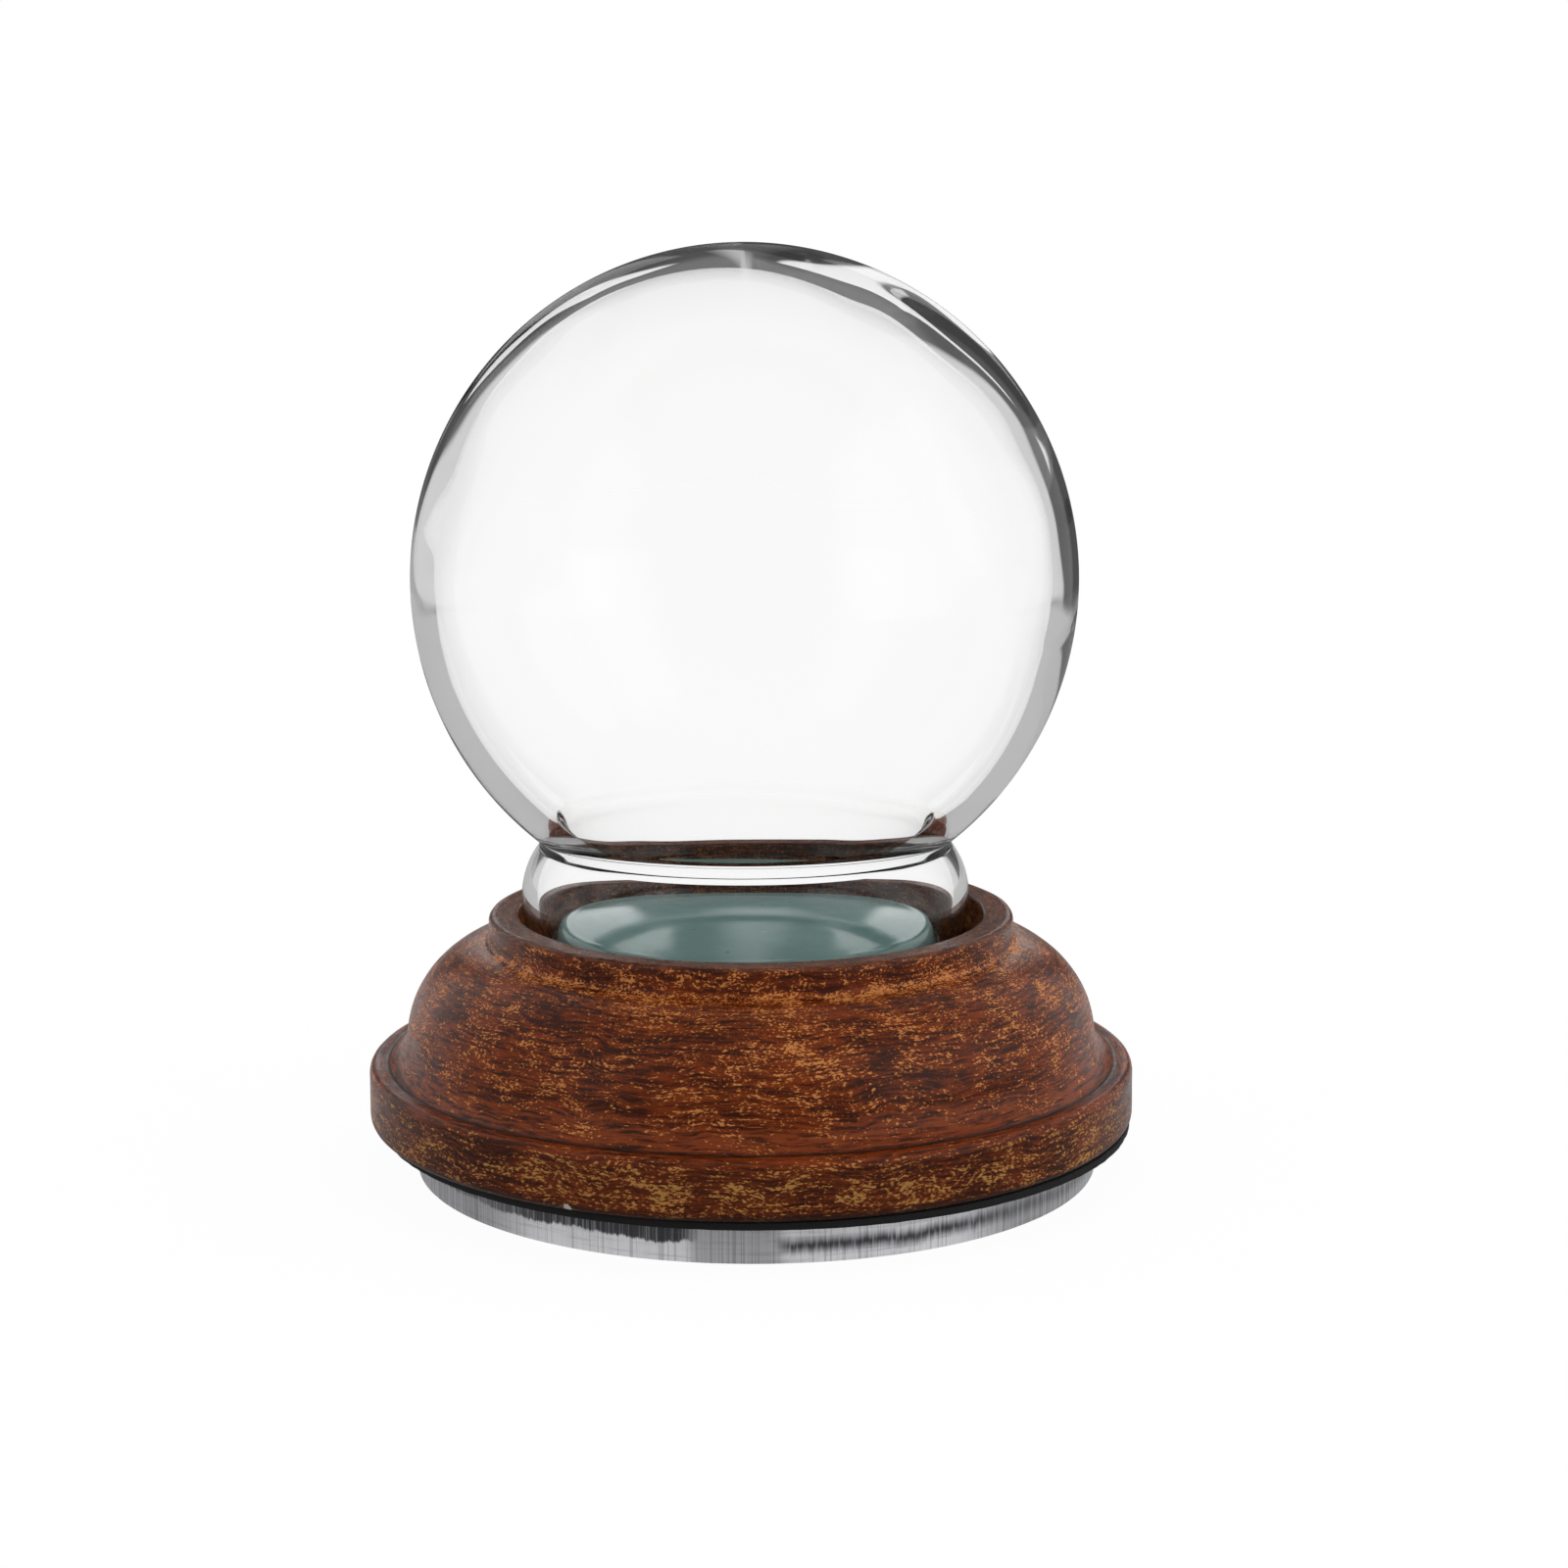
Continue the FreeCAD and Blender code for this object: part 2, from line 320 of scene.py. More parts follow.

# The noises of the cut edge of the disc: fine ribs, level lines, and the steps and slow drift that
# make the jagged border of the painted reflection of the pad.
CUT_RIBS = (130.0, 40 * MM, 2.0, 0.6, 3.0)
CUT_STEPS = (75.0, 60 * MM, 2.0, 0.6, 11.0)
CUT_LINES = (4.0, 0.35 * MM, 3.0, 0.6, 5.0)
CUT_DRIFT = (3.0, 90 * MM, 2.0, 0.5, 23.0)
# Painted reflection: the pale room and the dark pad that the cut edge shows, painted into its
# colour.
PAINTED_LIGHT_PALE, PAINTED_PAD_DARK = srgb(240, 239, 242), srgb(92, 93, 98)
LINE_GREY = srgb(120, 120, 126)
RIB_PALE, RIB_DARK = srgb(205, 207, 214), srgb(62, 64, 72)
# Painted light: the cut edge glows where the painted pad doesn't darken it.
PAINTED_EDGE_GLOW = 0.22


def let_lamps_through(g, shader):
    """The shader, but a clear pane for rays that ask whether a lamp is in sight."""
    passing = g.add("ShaderNodeBsdfTransparent", {"Color": NEARLY_CLEAR})
    lamp_ray = g.add("ShaderNodeLightPath", output=1)
    return g.add("ShaderNodeMixShader", {0: lamp_ray, 1: shader, 2: passing})


def blown_glass_material():
    """Clear glass. It reflects less at a slant than bare glass, as the globe is as clear at its
    sides as in its middle, and it lets lamps through to what is behind it."""
    g = Graph("blown_glass")
    waves = g.bump(g.noise(g.place(), 90.0, 1.0), 0.02 * MM)
    mirrored = g.add("ShaderNodeFresnel", {"IOR": GLASS_IOR, "Normal": waves})
    kept = g.ramp(mirrored, SLANT_FROM, SLANT_FULL, SLANT_MIRROR, 1.0)
    share = g.times(mirrored, kept)
    bare = {"Roughness": 0.0, "Normal": waves}
    through = g.add("ShaderNodeBsdfRefraction", {"IOR": GLASS_IOR, **bare})
    back = g.add("ShaderNodeBsdfAnisotropic", bare)
    glass = g.add("ShaderNodeMixShader", {0: share, 1: through, 2: back})
    tint = g.add("ShaderNodeVolumeAbsorption", {"Color": GLASS_TINT, "Density": GLASS_DENSITY})
    return g.surface(let_lamps_through(g, glass), tint)


def rubber_material():
    """Moulded rubber with a soft shine, specks of dust and small pits."""
    g = Graph("grey_green_rubber")
    place = g.place()
    cloud = g.noise(place, 120.0, 4.0, 0.6)
    colour = g.blend(g.ramp(cloud, 0.35, 0.65), srgb(122, 159, 154), srgb(134, 171, 166))
    dust = g.ramp(g.noise(place, 1900.0, 2.0, 0.5), 0.74, 0.78)
    colour = g.coat(colour, srgb(190, 205, 200), dust, 0.6)
    pits = g.ramp(g.noise(place, 1500.0, 1.0, 0.5), 0.26, 0.22)
    colour = g.coat(colour, srgb(50, 66, 62), pits, 0.5)
    grain = g.bump(g.noise(place, 900.0, 3.0, 0.6), 0.004 * MM, 0.5)
    rubber = g.add(
        "ShaderNodeBsdfPrincipled",
        {
            "Base Color": colour,
            "Roughness": g.ramp(cloud, 0.3, 0.7, 0.09, 0.13),
            "IOR": 1.5,
            "Normal": grain,
        },
    )
    return g.surface(rubber)


def antique_material(levels, chip):
    """Dark brown paint brushed over red-brown, with ochre flecks dry-brushed on top, and lacquer;
    painted shade darkens the band, the collar, the socket and the crease over the band, and a
    painted shadow darkens the foot.
    The levels are those of the foot, the tops of the band and the bulge, and the rim.
    The chip is the place where the white casting shows."""
    foot, band_top, bulge_top, rim = levels
    g = Graph("antique_brown")
    place = g.place()
    height = g.height()
    reach = g.reach()
    sway = g.times(g.noise(place, 160.0, 2.0), BRUSH_SWAY)
    clouds = g.round_noise(CLOUDS, sway)
    patches = g.round_noise(PATCHES, sway)
    strokes = g.round_noise(STROKES, sway)
    crumbs = g.round_noise(CRUMBS, sway)

    # Kinds of place.
    on_band = g.ramp(height, band_top - 0.2 * MM, band_top - 0.9 * MM)
    above_band = g.ramp(height, band_top - 0.2 * MM, band_top + 0.1 * MM)
    in_cove = g.times(g.near(height, band_top + 0.9 * MM, 2.2 * MM), above_band)
    at_fillet = g.near(height, bulge_top + 0.1 * MM, 0.55 * MM)
    on_collar = g.ramp(height, bulge_top + 0.4 * MM, bulge_top + 1.0 * MM)
    on_rim = g.ramp(height, rim - 0.5 * MM, rim - 0.15 * MM)
    in_socket = g.ramp(reach, 22.9 * MM, 22.6 * MM)
    low_on_band = g.near(height, foot + 2.3 * MM, 2.2 * MM)
    on_band_edge = g.near(height, band_top, 0.9 * MM)
    # Where the painted shadow lies: the lowest millimetre of the band.
    shadow_at_foot = g.ramp(height, foot + 1.0 * MM, foot + 0.2 * MM)
    # The crease where the cove meets the band's rounded top edge: dark paint and painted shade.
    up_to_crease = g.ramp(height, band_top + 0.5 * MM, band_top)
    crease_paint_and_shade = g.times(g.near(reach, 35.2 * MM, 0.5 * MM), up_to_crease)

    # How much ochre there is, from all scales of the brush work and the kind of place.
    field = crumbs
    for share, brush in ((0.55, patches), (0.20, clouds), (0.45, strokes)):
        field = g.plus(field, g.times(g.minus(brush, 0.5), share))
    for share, kind in ((0.09, at_fillet), (0.035, low_on_band)):
        field = g.plus(field, g.times(kind, share))
    for share, kind in ((0.05, in_cove), (0.04, on_rim), (0.06, on_band_edge)):
        field = g.minus(field, g.times(kind, share))

    ground = g.plus(g.times(clouds, 0.35), g.times(strokes, 0.65))
    colour = g.blend(g.ramp(ground, 0.40, 0.58), DARK_BROWN, RED_BROWN)
    # Painted shade: the upright band and collar are painted darker, as light from above falls less
    # on them.
    shaded = g.plus(g.times(on_band, 0.45), g.times(on_collar, 0.4))
    colour = g.blend(shaded, colour, PAINTED_SHADE_BROWN)
    colour = g.coat(colour, COVE_BROWN, in_cove, g.ramp(strokes, 0.40, 0.60))
    colour = g.coat(colour, HALO_BROWN, g.ramp(field, HALO_FROM, HALO_FULL), 0.8)
    ochre = g.blend(on_band, OCHRE, BAND_OCHRE)
    colour = g.blend(g.ramp(field, OCHRE_FROM, OCHRE_FULL), colour, ochre)
    scratches = g.ramp(g.round_noise(SCRATCHES, sway), 0.73, 0.75)
    colour = g.coat(colour, SCRATCH_OCHRE, scratches, 0.8)
    # Dark paint and painted shade in the crease over the band.
    colour = g.coat(colour, CREASE_PAINT_AND_SHADE, crease_paint_and_shade, 0.85)
    # Painted shadow: the band darkens to near black along its bottom edge.
    colour = g.coat(colour, PAINTED_SHADOW_BLACK, shadow_at_foot, 0.8)
    rim_paint = g.blend(g.ramp(strokes, 0.4, 0.6), RIM_DARK, RIM_PALE)
    colour = g.coat(colour, rim_paint, on_rim, 0.6)
    # Painted shade: the walls and floor of the socket are painted darker.
    colour = g.coat(colour, SOCKET_SHADE_BROWN, in_socket, 0.5)
    chip_far = g.vector("DISTANCE", {0: place, 1: chip}, output=1)
    chip_far = g.plus(chip_far, g.times(crumbs, 0.4 * MM))
    colour = g.blend(g.ramp(chip_far, 0.62 * MM, 0.56 * MM), colour, CHIP_WHITE)

    relief = g.plus(g.times(strokes, 0.6), g.times(crumbs, 0.4))
    finish = g.add(
        "ShaderNodeBsdfPrincipled",
        {
            "Base Color": colour,
            "Roughness": g.ramp(patches, 0.3, 0.7, 0.24, 0.38),
            "IOR": 1.45,
            "Specular IOR Level": 0.22,
            "Normal": g.bump(relief, 0.07 * MM, 0.5),
        },
    )
    return g.surface(finish)


def acrylic_material(foot, top, edge_reach):
    """Clear plastic. Its cut edge is half matt and ribbed, with a painted reflection of the dark
    pad above, in its upper part on one side and in its lower part on the other."""
    g = Graph("clear_acrylic")
    height = g.height()
    side = g.part(g.place(), 0)
    ribs = g.round_noise(CUT_RIBS)
    steps = g.round_noise(CUT_STEPS)
    lines = g.round_noise(CUT_LINES)
    drift = g.round_noise(CUT_DRIFT)
    clear = g.add(
        "ShaderNodeBsdfPrincipled",
        {
            "Base Color": (0.99, 0.99, 1.0, 1),
            "Roughness": 0.0,
            "IOR": ACRYLIC_IOR,
            "Transmission Weight": 1.0,
        },
    )

    # How dark the painted reflection of the pad makes the edge: in its upper part at the left, in
    # a jagged band at the right, evenly grey in the middle and dark at both ends.
    jagged = g.maths("DIVIDE", g.minus(height, foot), top - foot)
    jagged = g.plus(jagged, g.times(g.minus(steps, 0.5), 0.22))
    jagged = g.plus(jagged, g.times(g.minus(drift, 0.5), 0.6))
    left = g.ramp(side, 2 * MM, -4 * MM)
    dark = g.mix(left, g.near(jagged, 0.42, 0.28), g.ramp(jagged, 0.42, 0.50))
    middle = g.ramp(g.near(side, -1 * MM, 7 * MM), 0.2, 0.6)
    dark = g.mix(middle, dark, 0.5)
    ends = g.ramp(g.maths("ABSOLUTE", side), 17 * MM, 25 * MM)
    dark = g.mix(g.times(ends, 0.75), dark, 0.85)

    # Painted reflection of the pad and of the pale room on the cut edge.
    tone = g.blend(dark, PAINTED_LIGHT_PALE, PAINTED_PAD_DARK)
    tone = g.coat(tone, LINE_GREY, g.ramp(lines, 0.5, 0.66), 0.5)
    tone = g.coat(tone, RIB_PALE, g.ramp(ribs, 0.52, 0.60), 0.6)
    tone = g.coat(tone, RIB_DARK, g.ramp(ribs, 0.46, 0.38), 0.6)
    matt = g.add(
        "ShaderNodeBsdfPrincipled",
        {
            "Base Color": tone,
            "Roughness": 0.3,
            "IOR": ACRYLIC_IOR,
            # Painted light: a glow on the cut edge, though it is no lamp.
            "Emission Color": (0.98, 0.98, 1.0, 1),
            "Emission Strength": g.times(g.minus(1.0, dark), PAINTED_EDGE_GLOW),
            "Normal": g.bump(ribs, 0.1 * MM, 0.6),
        },
    )
    cut = g.ramp(g.reach(), edge_reach - 0.6 * MM, edge_reach - 0.4 * MM)
    plastic = g.add("ShaderNodeMixShader", {0: cut, 1: clear, 2: matt})
    return g.surface(let_lamps_through(g, plastic))


def foam_material():
    g = Graph("black_foam")
    cells = g.noise(g.place(), 2500.0, 3.0, 0.7)
    colour = g.blend(g.ramp(cells, 0.35, 0.7), srgb(12, 12, 13), srgb(34, 34, 36))
    foam = g.add(
        "ShaderNodeBsdfPrincipled",
        {
            "Base Color": colour,
            "Roughness": g.ramp(cells, 0.3, 0.7, 0.75, 0.95),
            "Normal": g.bump(cells, 0.08 * MM, 0.8),
        },
    )
    return g.surface(foam)


def film_material():
    g = Graph("adhesive_film")
    cloud = g.noise(g.place(), 300.0, 4.0, 0.6)
    colour = g.blend(g.ramp(cloud, 0.3, 0.7), srgb(60, 60, 62), srgb(84, 84, 86))
    film = g.add(
        "ShaderNodeBsdfPrincipled",
        {"Base Color": colour, "Roughness": g.ramp(cloud, 0.3, 0.7, 0.3, 0.5)},
    )
    return g.surface(film)


def floor_material():
    """Pale to the camera; for other rays a dim table, brighter behind the object."""
    g = Graph("pale_floor")
    place = g.place()
    cloud = g.noise(place, 8.0, 3.0, 0.5)
    colour = g.blend(g.ramp(cloud, 0.3, 0.7), (0.88, 0.88, 0.88, 1), (0.92, 0.92, 0.92, 1))
    turned_back = g.turned_back()
    matt = g.add("ShaderNodeBsdfDiffuse", {"Color": colour})
    behind = g.part(place, 1)
    glow = g.ramp(behind, -FLOOR_GLOW_BLEND, FLOOR_GLOW_BLEND, FLOOR_GLOW_FRONT, FLOOR_GLOW)
    strength = g.mix(turned_back, FLOOR_SHOWN, glow)
    light = g.add("ShaderNodeEmission", {"Color": (1, 1, 1, 1), "Strength": strength})
    share = g.mix(turned_back, FLOOR_SHADE, FLOOR_MATT)
    shaded = g.add("ShaderNodeMixShader", {0: share, 2: matt})
    pale = g.add("ShaderNodeAddShader", {0: light, 1: shaded})
    far = g.ramp(g.vector("LENGTH", {0: place}, 1), TABLE_RADIUS * 0.9, TABLE_RADIUS * 1.1)
    gone = g.times(far, turned_back)
    through = g.add("ShaderNodeBsdfTransparent")
    return g.surface(g.add("ShaderNodeMixShader", {0: gone, 1: pale, 2: through}))


# ---------------------------------------------------------------- the glass globe

globe_low, globe_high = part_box("glass_globe")
GLOBE_SIDE = (globe_low.x + globe_high.x) / 2
GLOBE_RADIUS = (globe_high.x - globe_low.x) / 2
GLOBE_SEGMENTS = 192
BALL_STEP = 0.7 * MM
NECK_STEP = 0.2 * MM
WALL = 2.0 * MM
HOLLOW_RISE = 0.3 * MM
THROAT_ROUND = 2.1 * MM
WAIST_RADIUS = 19.7 * MM
WAIST_ROUND = 0.6 * MM
NECK_RADIUS = 21.55 * MM
NECK_HEIGHT = 5.65 * MM
NECK_LOWER_ROUND = 11.5 * MM
NECK_WALL = 1.5 * MM

# How far the walls of the ball are from even: the waviness of each face, and the thicker parts.
# The inner waves fade out below the middle, by the upward part of the direction from the centre.
SKIN_RIPPLE = 0.03 * MM
SKIN_PITCH = 14 * MM
WALL_RIPPLE = 0.20 * MM
WALL_PITCH = 10 * MM
THICKER_RIGHT = 0.60 * MM
THICKER_TOP = 1.00 * MM
RIPPLE_MIDDLE = 0.6
RIPPLE_GROWTH = 2.5

# The level where the unevenness begins, and the height over which it grows.
BALL_FOOT = 38 * MM
BALL_BLEND = 14 * MM


def touch(centre, radius, other, other_radius):
    """Where two circles that touch from outside meet."""
    share = radius / (radius + other_radius)
    return tuple(a + (b - a) * share for a, b in zip(centre, other))


def barrel_radius(side, rise, other_radius):
    """The radius of an arc upright at its foot that touches a circle to its side and above."""
    return (side**2 + rise**2 - other_radius**2) / (2 * (other_radius - side))


def far_meeting(first, first_radius, second, second_radius):
    """Where two circles cross, on the left of the way from the second's centre to the first's."""
    first, second = Vector(first), Vector(second)
    way = second - first
    along = (way.length**2 + first_radius**2 - second_radius**2) / (2 * way.length)
    aside = math.sqrt(first_radius**2 - along**2)
    way.normalize()
    return tuple(first + way * along + Vector((-way.y, way.x)) * aside)


def globe_outline():
    """From the top of the hollow down the inside, round the lip and up the outside."""
    foot = globe_low.z
    ball = (0.0, globe_high.z - GLOBE_RADIUS)
    hollow_radius = GLOBE_RADIUS - WALL
    hollow = (0.0, ball[1] + HOLLOW_RISE)
    neck_height = foot + NECK_HEIGHT
    lip = NECK_WALL / 2

    waist_side = WAIST_RADIUS + WAIST_ROUND
    waist_drop = math.sqrt((GLOBE_RADIUS + WAIST_ROUND) ** 2 - waist_side**2)
    waist_centre = (waist_side, ball[1] - waist_drop)
    ball_end = touch(ball, GLOBE_RADIUS, waist_centre, WAIST_ROUND)
    neck_rise = waist_centre[1] - neck_height
    neck = barrel_radius(waist_side - NECK_RADIUS, neck_rise, WAIST_ROUND)
    neck_centre = (NECK_RADIUS - neck, neck_height)
    neck_start = touch(neck_centre, neck, waist_centre, WAIST_ROUND)

    lower_centre = (NECK_RADIUS - NECK_LOWER_ROUND, neck_height)
    drop = neck_height - foot - lip
    lip_reach = math.sqrt((NECK_LOWER_ROUND - lip) ** 2 - drop**2)
    lip_centre = (lower_centre[0] + lip_reach, foot + lip)
    lip_start = touch(lower_centre, NECK_LOWER_ROUND, lip_centre, -lip)

    bore = NECK_RADIUS - NECK_WALL
    bore_lower = barrel_radius(lip_centre[0] - bore, drop, lip)
    lip_end = touch((bore - bore_lower, neck_height), bore_lower, lip_centre, lip)
    fold = THROAT_ROUND
    bore_upper = neck - NECK_WALL
    fold_centre = far_meeting(hollow, hollow_radius + fold, neck_centre, bore_upper + fold)
    bore_end = touch((bore - bore_upper, neck_height), bore_upper, fold_centre, fold)
    hollow_start = touch(hollow, hollow_radius, fold_centre, fold)

    inside = outline(
        (0.0, hollow[1] + hollow_radius),
        [(hollow_start, hollow_radius, RIGHT)],
        BALL_STEP,
    )
    neck_part = outline(
        inside[-1],
        [
            (bore_end, fold, LEFT),
            ((bore, neck_height), bore_upper, RIGHT),
            (lip_end, bore_lower, RIGHT),
            ((lip_centre[0], foot), lip, LEFT),
            (lip_start, lip, LEFT),
            ((NECK_RADIUS, neck_height), NECK_LOWER_ROUND, LEFT),
            (neck_start, neck, LEFT),
            (ball_end, WAIST_ROUND, RIGHT),
        ],
        NECK_STEP,
    )
    outside = outline(neck_part[-1], [((0.0, globe_high.z), GLOBE_RADIUS, LEFT)], BALL_STEP)
    return inside + neck_part[1:] + outside[1:]


def glass_globe():
    """The ball's walls are uneven; its outer face only dips, so it stays inside the CAD box."""
    piece = turned("globe_glass", globe_outline(), GLOBE_SIDE, GLOBE_SEGMENTS)
    centre = Vector((GLOBE_SIDE, 0.0, globe_high.z - GLOBE_RADIUS))

    def unevenness(place):
        away = place - centre
        way = away.normalized()
        share = min(max((place.z - BALL_FOOT) / BALL_BLEND, 0.0), 1.0)
        if away.length > GLOBE_RADIUS - WALL / 2:
            return way * (share * SKIN_RIPPLE * (ripple(place, SKIN_PITCH, 9) - 1.0))
        thicker = THICKER_RIGHT * max(way.x, 0.0) + THICKER_TOP * max(way.z, 0.0)
        uneven = WALL_RIPPLE * min(max(RIPPLE_MIDDLE + RIPPLE_GROWTH * way.z, 0.0), 1.0)
        return way * (share * (uneven * ripple(place, WALL_PITCH, 3) - thicker))

    reshape(piece, unevenness)
    piece.data.materials.append(blown_glass_material())
    return finished(piece, "glass_globe", "globe")


# ---------------------------------------------------------------- the stopper

stopper_low, stopper_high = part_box("rubber_stopper")
STOPPER_SEGMENTS = 160


def rubber_stopper():
    """A domed plug on a flange. Its top is slightly uneven."""
    foot = stopper_low.z
    flange = stopper_high.x - GLOBE_SIDE
    edge = 0.4 * MM
    flange_top = foot + 1.9 * MM
    depth = 3.1 * MM
    plug_edge = flange_top + depth
    corner = 1.0 * MM
    crown = 1.4 * MM
    plug_foot = (19.05 * MM, flange_top)
    plug_top = 18.06 * MM
    side_top = (plug_top + (plug_foot[0] - plug_top) * corner / depth, plug_edge - corner)
    crown_edge = plug_top - corner
    crown_round = (crown_edge**2 + crown**2) / (2 * crown)
    points = outline(
        (0.0, foot),
        [
            (flange - edge, foot),
            ((flange, foot + edge), edge, LEFT),
            (flange, flange_top - edge),
            ((flange - edge, flange_top), edge, LEFT),
            plug_foot,
            side_top,
            ((crown_edge, plug_edge), corner * 1.25, LEFT),
            ((0.0, plug_edge + crown), crown_round, LEFT),
        ],
        0.3 * MM,
    )
    piece = turned("stopper_rubber", points, GLOBE_SIDE, STOPPER_SEGMENTS)

    def unevenness(place):
        lift = 0.02 * MM * (ripple(place, 9 * MM, 5) - 0.6)
        return Vector((0, 0, lift)) * (place.z > plug_edge)

    reshape(piece, unevenness)
    piece.data.materials.append(rubber_material())
    return finished(piece, "rubber_stopper", "stopper")


# ---------------------------------------------------------------- the base

base_low, base_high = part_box("cast_base")
BAND_TOP = base_low.z + 5.5 * MM
BASE_SEGMENTS = 320


def cast_base():
    """Band, cove, bulge and collar round a socket. The sides and the rim are slightly uneven."""
    z = base_low.z
    band = base_high.x
    band_round = 0.8 * MM
    cove_foot_reach, cove_top_reach = 35.3 * MM, 33.3 * MM
    cove_round = 3.7 * MM
    cove_top = BAND_TOP + 3.0 * MM
    bulge_round = 9.65 * MM
    bulge_top = cove_top + 8.4 * MM
    collar = 25.35 * MM
    fillet = 0.5 * MM
    rim = base_high.z
    socket = 22.45 * MM
    floor_z = stopper_low.z
    rim_out, rim_in = 0.6 * MM, 0.35 * MM
    bottom = outline((0.0, z), [(band - band_round, z)], 2.0 * MM)
    outside = outline(
        bottom[-1],
        [
            ((band, z + band_round), band_round, LEFT),
            (band, BAND_TOP - band_round),
            ((band - band_round, BAND_TOP), band_round, LEFT),
            (cove_foot_reach, BAND_TOP),
            ((cove_top_reach, cove_top), cove_round, RIGHT),
            ((collar + fillet, bulge_top), bulge_round, LEFT),
            ((collar, bulge_top + fillet), fillet, RIGHT),
            (collar, rim - rim_out),
            ((collar - rim_out, rim), rim_out, LEFT),
            (socket + rim_in, rim),
            ((socket, rim - rim_in), rim_in, LEFT),
            (socket, floor_z),
        ],
        0.25 * MM,
    )
    socket_floor = outline(outside[-1], [(0.0, floor_z)], 2.0 * MM)
    piece = turned("base_casting", bottom + outside[1:] + socket_floor[1:], 0.0, BASE_SEGMENTS)

    def unevenness(place):
        away = outward(place)
        inset = -0.05 * MM + 0.05 * MM * ripple(place, 9 * MM, 21)
        inset += 0.02 * MM * ripple(place, 2 * MM, 4)
        near_rim = min(max((place.z - (rim - 1.2 * MM)) / MM, 0.0), 1.0)
        lift = near_rim * (0.12 * MM * ripple(place, 8 * MM, 13) - 0.1 * MM)
        shown = 1.0 if place.z > z + 0.1 * MM else 0.0
        return (away * inset + Vector((0, 0, lift))) * shown

    reshape(piece, unevenness)
    levels = (z, BAND_TOP, bulge_top, rim)
    chip = (-15.6 * MM, -33.3 * MM, z + 0.35 * MM)
    piece.data.materials.append(antique_material(levels, chip))
    return finished(piece, "cast_base", "base")


# ---------------------------------------------------------------- what the base stands on


PLATE_STEP = 8.0 * MM
PAD_SEGMENTS = 600

# Enough to give the cut edge of the disc its finest ribs.
DISC_SEGMENTS = 2400


def plate_outline(low, high, side, corner):
    """A flat disc with slightly rounded edges."""
    radius = high.x - side
    return outline(
        (0.0, low.z),
        [
            (radius - corner, low.z),
            ((radius, low.z + corner), corner, LEFT),
            (radius, high.z - corner),
            ((radius - corner, high.z), corner, LEFT),
            (0.0, high.z),
        ],
        PLATE_STEP,
    )


def foot_side():
    """How far to the side of the base's axis the disc and the pad are stuck on."""
    low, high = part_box("clear_disc")
    return (low.x + high.x) / 2


def clear_disc():
    """The cut edge is ribbed by the beam that cut it."""
    low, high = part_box("clear_disc")
    side = foot_side()
    points = plate_outline(low, high, side, 0.08 * MM)
    piece = turned("disc_clear", points, side, DISC_SEGMENTS)
    edge = (high.x - side) - 1.0 * MM
    rib_depth = 0.03 * MM

    def ribs(place):
        level = Vector((place.x - side, place.y, 0.0))
        if level.length < edge:
            return Vector((0, 0, 0))
        round_way = math.atan2(place.y, place.x - side) * 33 * MM
        wave = 0.5 * ripple((round_way, 0, place.z * 0.15), 0.35 * MM, 2)
        wave += 0.5 * ripple((round_way, 3, place.z * 0.1), 1.6 * MM, 6)
        return level.normalized() * (rib_depth * wave - rib_depth)

    reshape(piece, ribs)
    piece.data.materials.append(acrylic_material(low.z, high.z, high.x - side - abs(side)))
    return finished(piece, "clear_disc", "base")


def base_pad():
    """Foam with a rough edge."""
    low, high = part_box("base_pad")
    side = foot_side()
    piece = turned("pad_foam", plate_outline(low, high, side, 0.1 * MM), side, PAD_SEGMENTS)
    reshape(piece, lambda p: outward(p, side) * (0.08 * MM * (ripple(p, 1.5 * MM, 8) - 1.0)))
    piece.data.materials.append(foam_material())
    return finished(piece, "base_pad", "base")


def adhesive_films():
    """The films keep their CAD shapes and get a material."""
    material = film_material()
    for node in ("pad_adhesive", "disc_adhesive"):
        film = frame["nodes"][node]
        film.data.materials.clear()
        film.data.materials.append(material)


# ---------------------------------------------------------------- the studio

CAMERA_DISTANCE = 0.280
CAMERA_ELEVATION = math.radians(9.8)
CAMERA_AIM = Vector((3.165 * MM, 0.0, 36.75 * MM))
LENS = 66.9

# The floor's brightness for the camera, the share of it that takes shadows, its glow for other
# rays behind and before the object, and how matt it is for them.
FLOOR_SHOWN = 0.95
FLOOR_SHADE = 0.10
FLOOR_GLOW = 0.42
FLOOR_GLOW_FRONT = 0.10
FLOOR_GLOW_BLEND = 0.05
FLOOR_MATT = 0.4
FLOOR_HALF = 4.0
FLOOR_DROP = 0.05 * MM
TABLE_RADIUS = 0.40

# The room round the object, as brightness over directions in degrees: the dim room, the ceiling
# from one elevation to another, and the sides by their angle from straight behind the object,
# which dim towards the camera's side.
ROOM = 0.10
SKY = 0.22
SKY_FROM, SKY_FULL = 20.0, 32.0
AROUND = 0.5
AROUND_FROM, AROUND_FULL = 40.0, 50.0
CAMERA_SIDE = 0.30
CAMERA_SIDE_FROM, CAMERA_SIDE_FULL = 125.0, 150.0

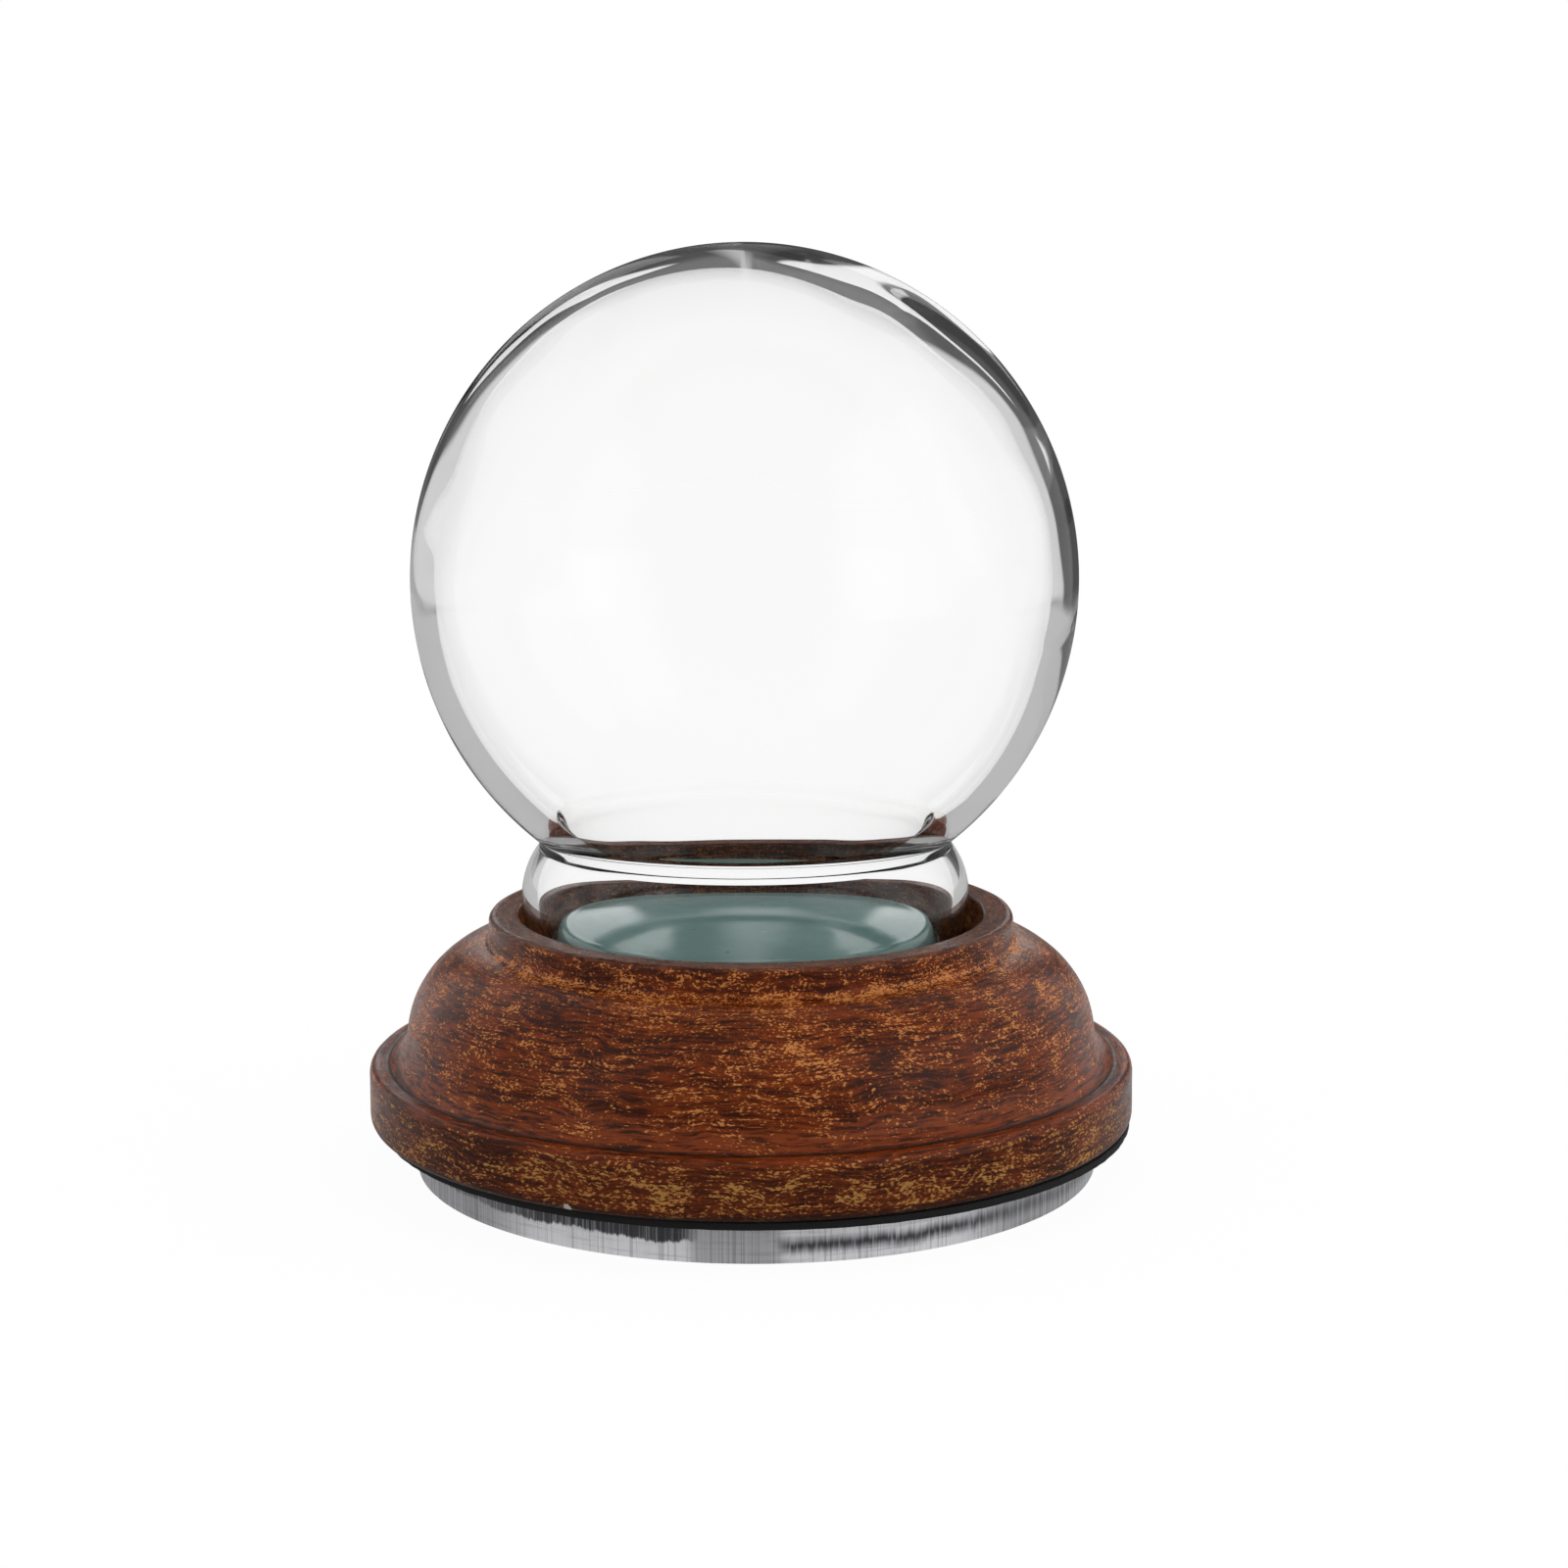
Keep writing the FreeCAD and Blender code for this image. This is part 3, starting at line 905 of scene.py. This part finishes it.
# Soft panels: azimuth from straight behind the object to the right, half width, lowest and
# highest elevation, softness of the edge, and brightness.
PANELS = [
    (0.0, 2.5, 13.0, 60.0, 2.0, 0.65),
    (12.5, 5.3, 6.0, 26.0, 0.8, 1.2),
    (-12.5, 5.3, 6.0, 26.0, 0.8, 1.2),
    (-24.0, 16.0, -25.0, 1.0, 2.0, 0.5),
    (92.0, 14.0, 0.0, 50.0, 8.0, 1.2),
    (48.0, 20.0, -8.0, 45.0, 3.0, 0.8),
    (-48.0, 20.0, -8.0, 45.0, 3.0, 0.8),
    (124.0, 19.0, -30.0, 55.0, 8.0, 1.2),
    (-126.0, 15.0, -30.0, 55.0, 8.0, 0.85),
]


def camera():
    data = bpy.data.cameras.new("camera")
    data.lens = LENS
    data.sensor_width = 36.0
    data.clip_start, data.clip_end = 0.01, 50.0
    item = bpy.data.objects.new("camera", data)
    bpy.context.scene.collection.objects.link(item)
    away = Vector((0.0, -math.cos(CAMERA_ELEVATION), math.sin(CAMERA_ELEVATION)))
    item.location = CAMERA_AIM + away * CAMERA_DISTANCE
    item.rotation_euler = (-away).to_track_quat("-Z", "Y").to_euler()
    bpy.context.scene.camera = item


def panel(g, x, y, rise, shape):
    """The light of one soft panel, over directions given by their level parts and elevation."""
    azimuth, half, low, high, edge, brightness = shape
    sine, cosine = math.sin(math.radians(azimuth)), math.cos(math.radians(azimuth))
    ahead = g.plus(g.times(x, sine), g.times(y, cosine))
    aside = g.minus(g.times(x, cosine), g.times(y, sine))
    off = g.maths("DEGREES", g.maths("ABSOLUTE", g.maths("ARCTAN2", aside, ahead)))
    inside = g.ramp(off, half + edge, half - edge)
    above = g.ramp(rise, low - edge, low + edge)
    below = g.ramp(rise, high + edge, high - edge)
    return g.times(g.times(inside, g.times(above, below)), brightness)


def world():
    """White behind everything for the camera; for all other rays a dim room with a bright ceiling
    and soft panels."""
    g = Graph("studio", world=True)
    bpy.context.scene.world = g.owner
    way = g.add("ShaderNodeTexCoord", output=0)
    x, y, z = [g.part(way, axis) for axis in range(3)]
    rise = g.maths("DEGREES", g.maths("ARCSINE", z))
    light = g.ramp(rise, SKY_FROM, SKY_FULL, ROOM, SKY)
    turned_away = g.maths("DEGREES", g.maths("ARCCOSINE", y))
    around = g.ramp(turned_away, CAMERA_SIDE_FROM, CAMERA_SIDE_FULL, AROUND, CAMERA_SIDE)
    around = g.times(around, g.ramp(turned_away, AROUND_FROM, AROUND_FULL))
    light = g.maths("MAXIMUM", light, around)
    for shape in PANELS:
        light = g.maths("MAXIMUM", light, panel(g, x, y, rise, shape))
    bent = g.add("ShaderNodeLightPath", output="Is Transmission Ray")
    clear = g.times(bent, g.minus(1.0, g.turned_back(1.5)))
    seen = g.maths("MAXIMUM", clear, g.add("ShaderNodeLightPath", output="Is Camera Ray"))
    strength = g.mix(seen, light, 1.0)
    shine = g.add("ShaderNodeBackground", {"Color": (1, 1, 1, 1), "Strength": strength})
    output = g.tree.nodes.new("ShaderNodeOutputWorld")
    g.tree.links.new(shine, output.inputs["Surface"])


def floor():
    """The camera sees pale floor all round; the glass sees a round table in the dim room."""
    mesh = bpy.data.meshes.new("floor")
    half = FLOOR_HALF
    corners = [(-half, -half, 0), (half, -half, 0), (half, half, 0), (-half, half, 0)]
    mesh.from_pydata(corners, [], [(0, 1, 2, 3)])
    item = bpy.data.objects.new("floor", mesh)
    bpy.context.scene.collection.objects.link(item)
    item.location.z = -FLOOR_DROP
    mesh.materials.append(floor_material())


def light_paths():
    """Room for the many turns of a ray inside the walls of the globe and the disc, and plain
    screen colours."""
    cycles = bpy.context.scene.cycles
    cycles.max_bounces = 24
    cycles.transmission_bounces = 20
    cycles.glossy_bounces = 12
    cycles.transparent_max_bounces = 24
    cycles.use_denoising = True
    bpy.context.scene.view_settings.view_transform = "Standard"


glass_globe()
rubber_stopper()
cast_base()
base_pad()
clear_disc()
adhesive_films()

camera()
world()
floor()
light_paths()
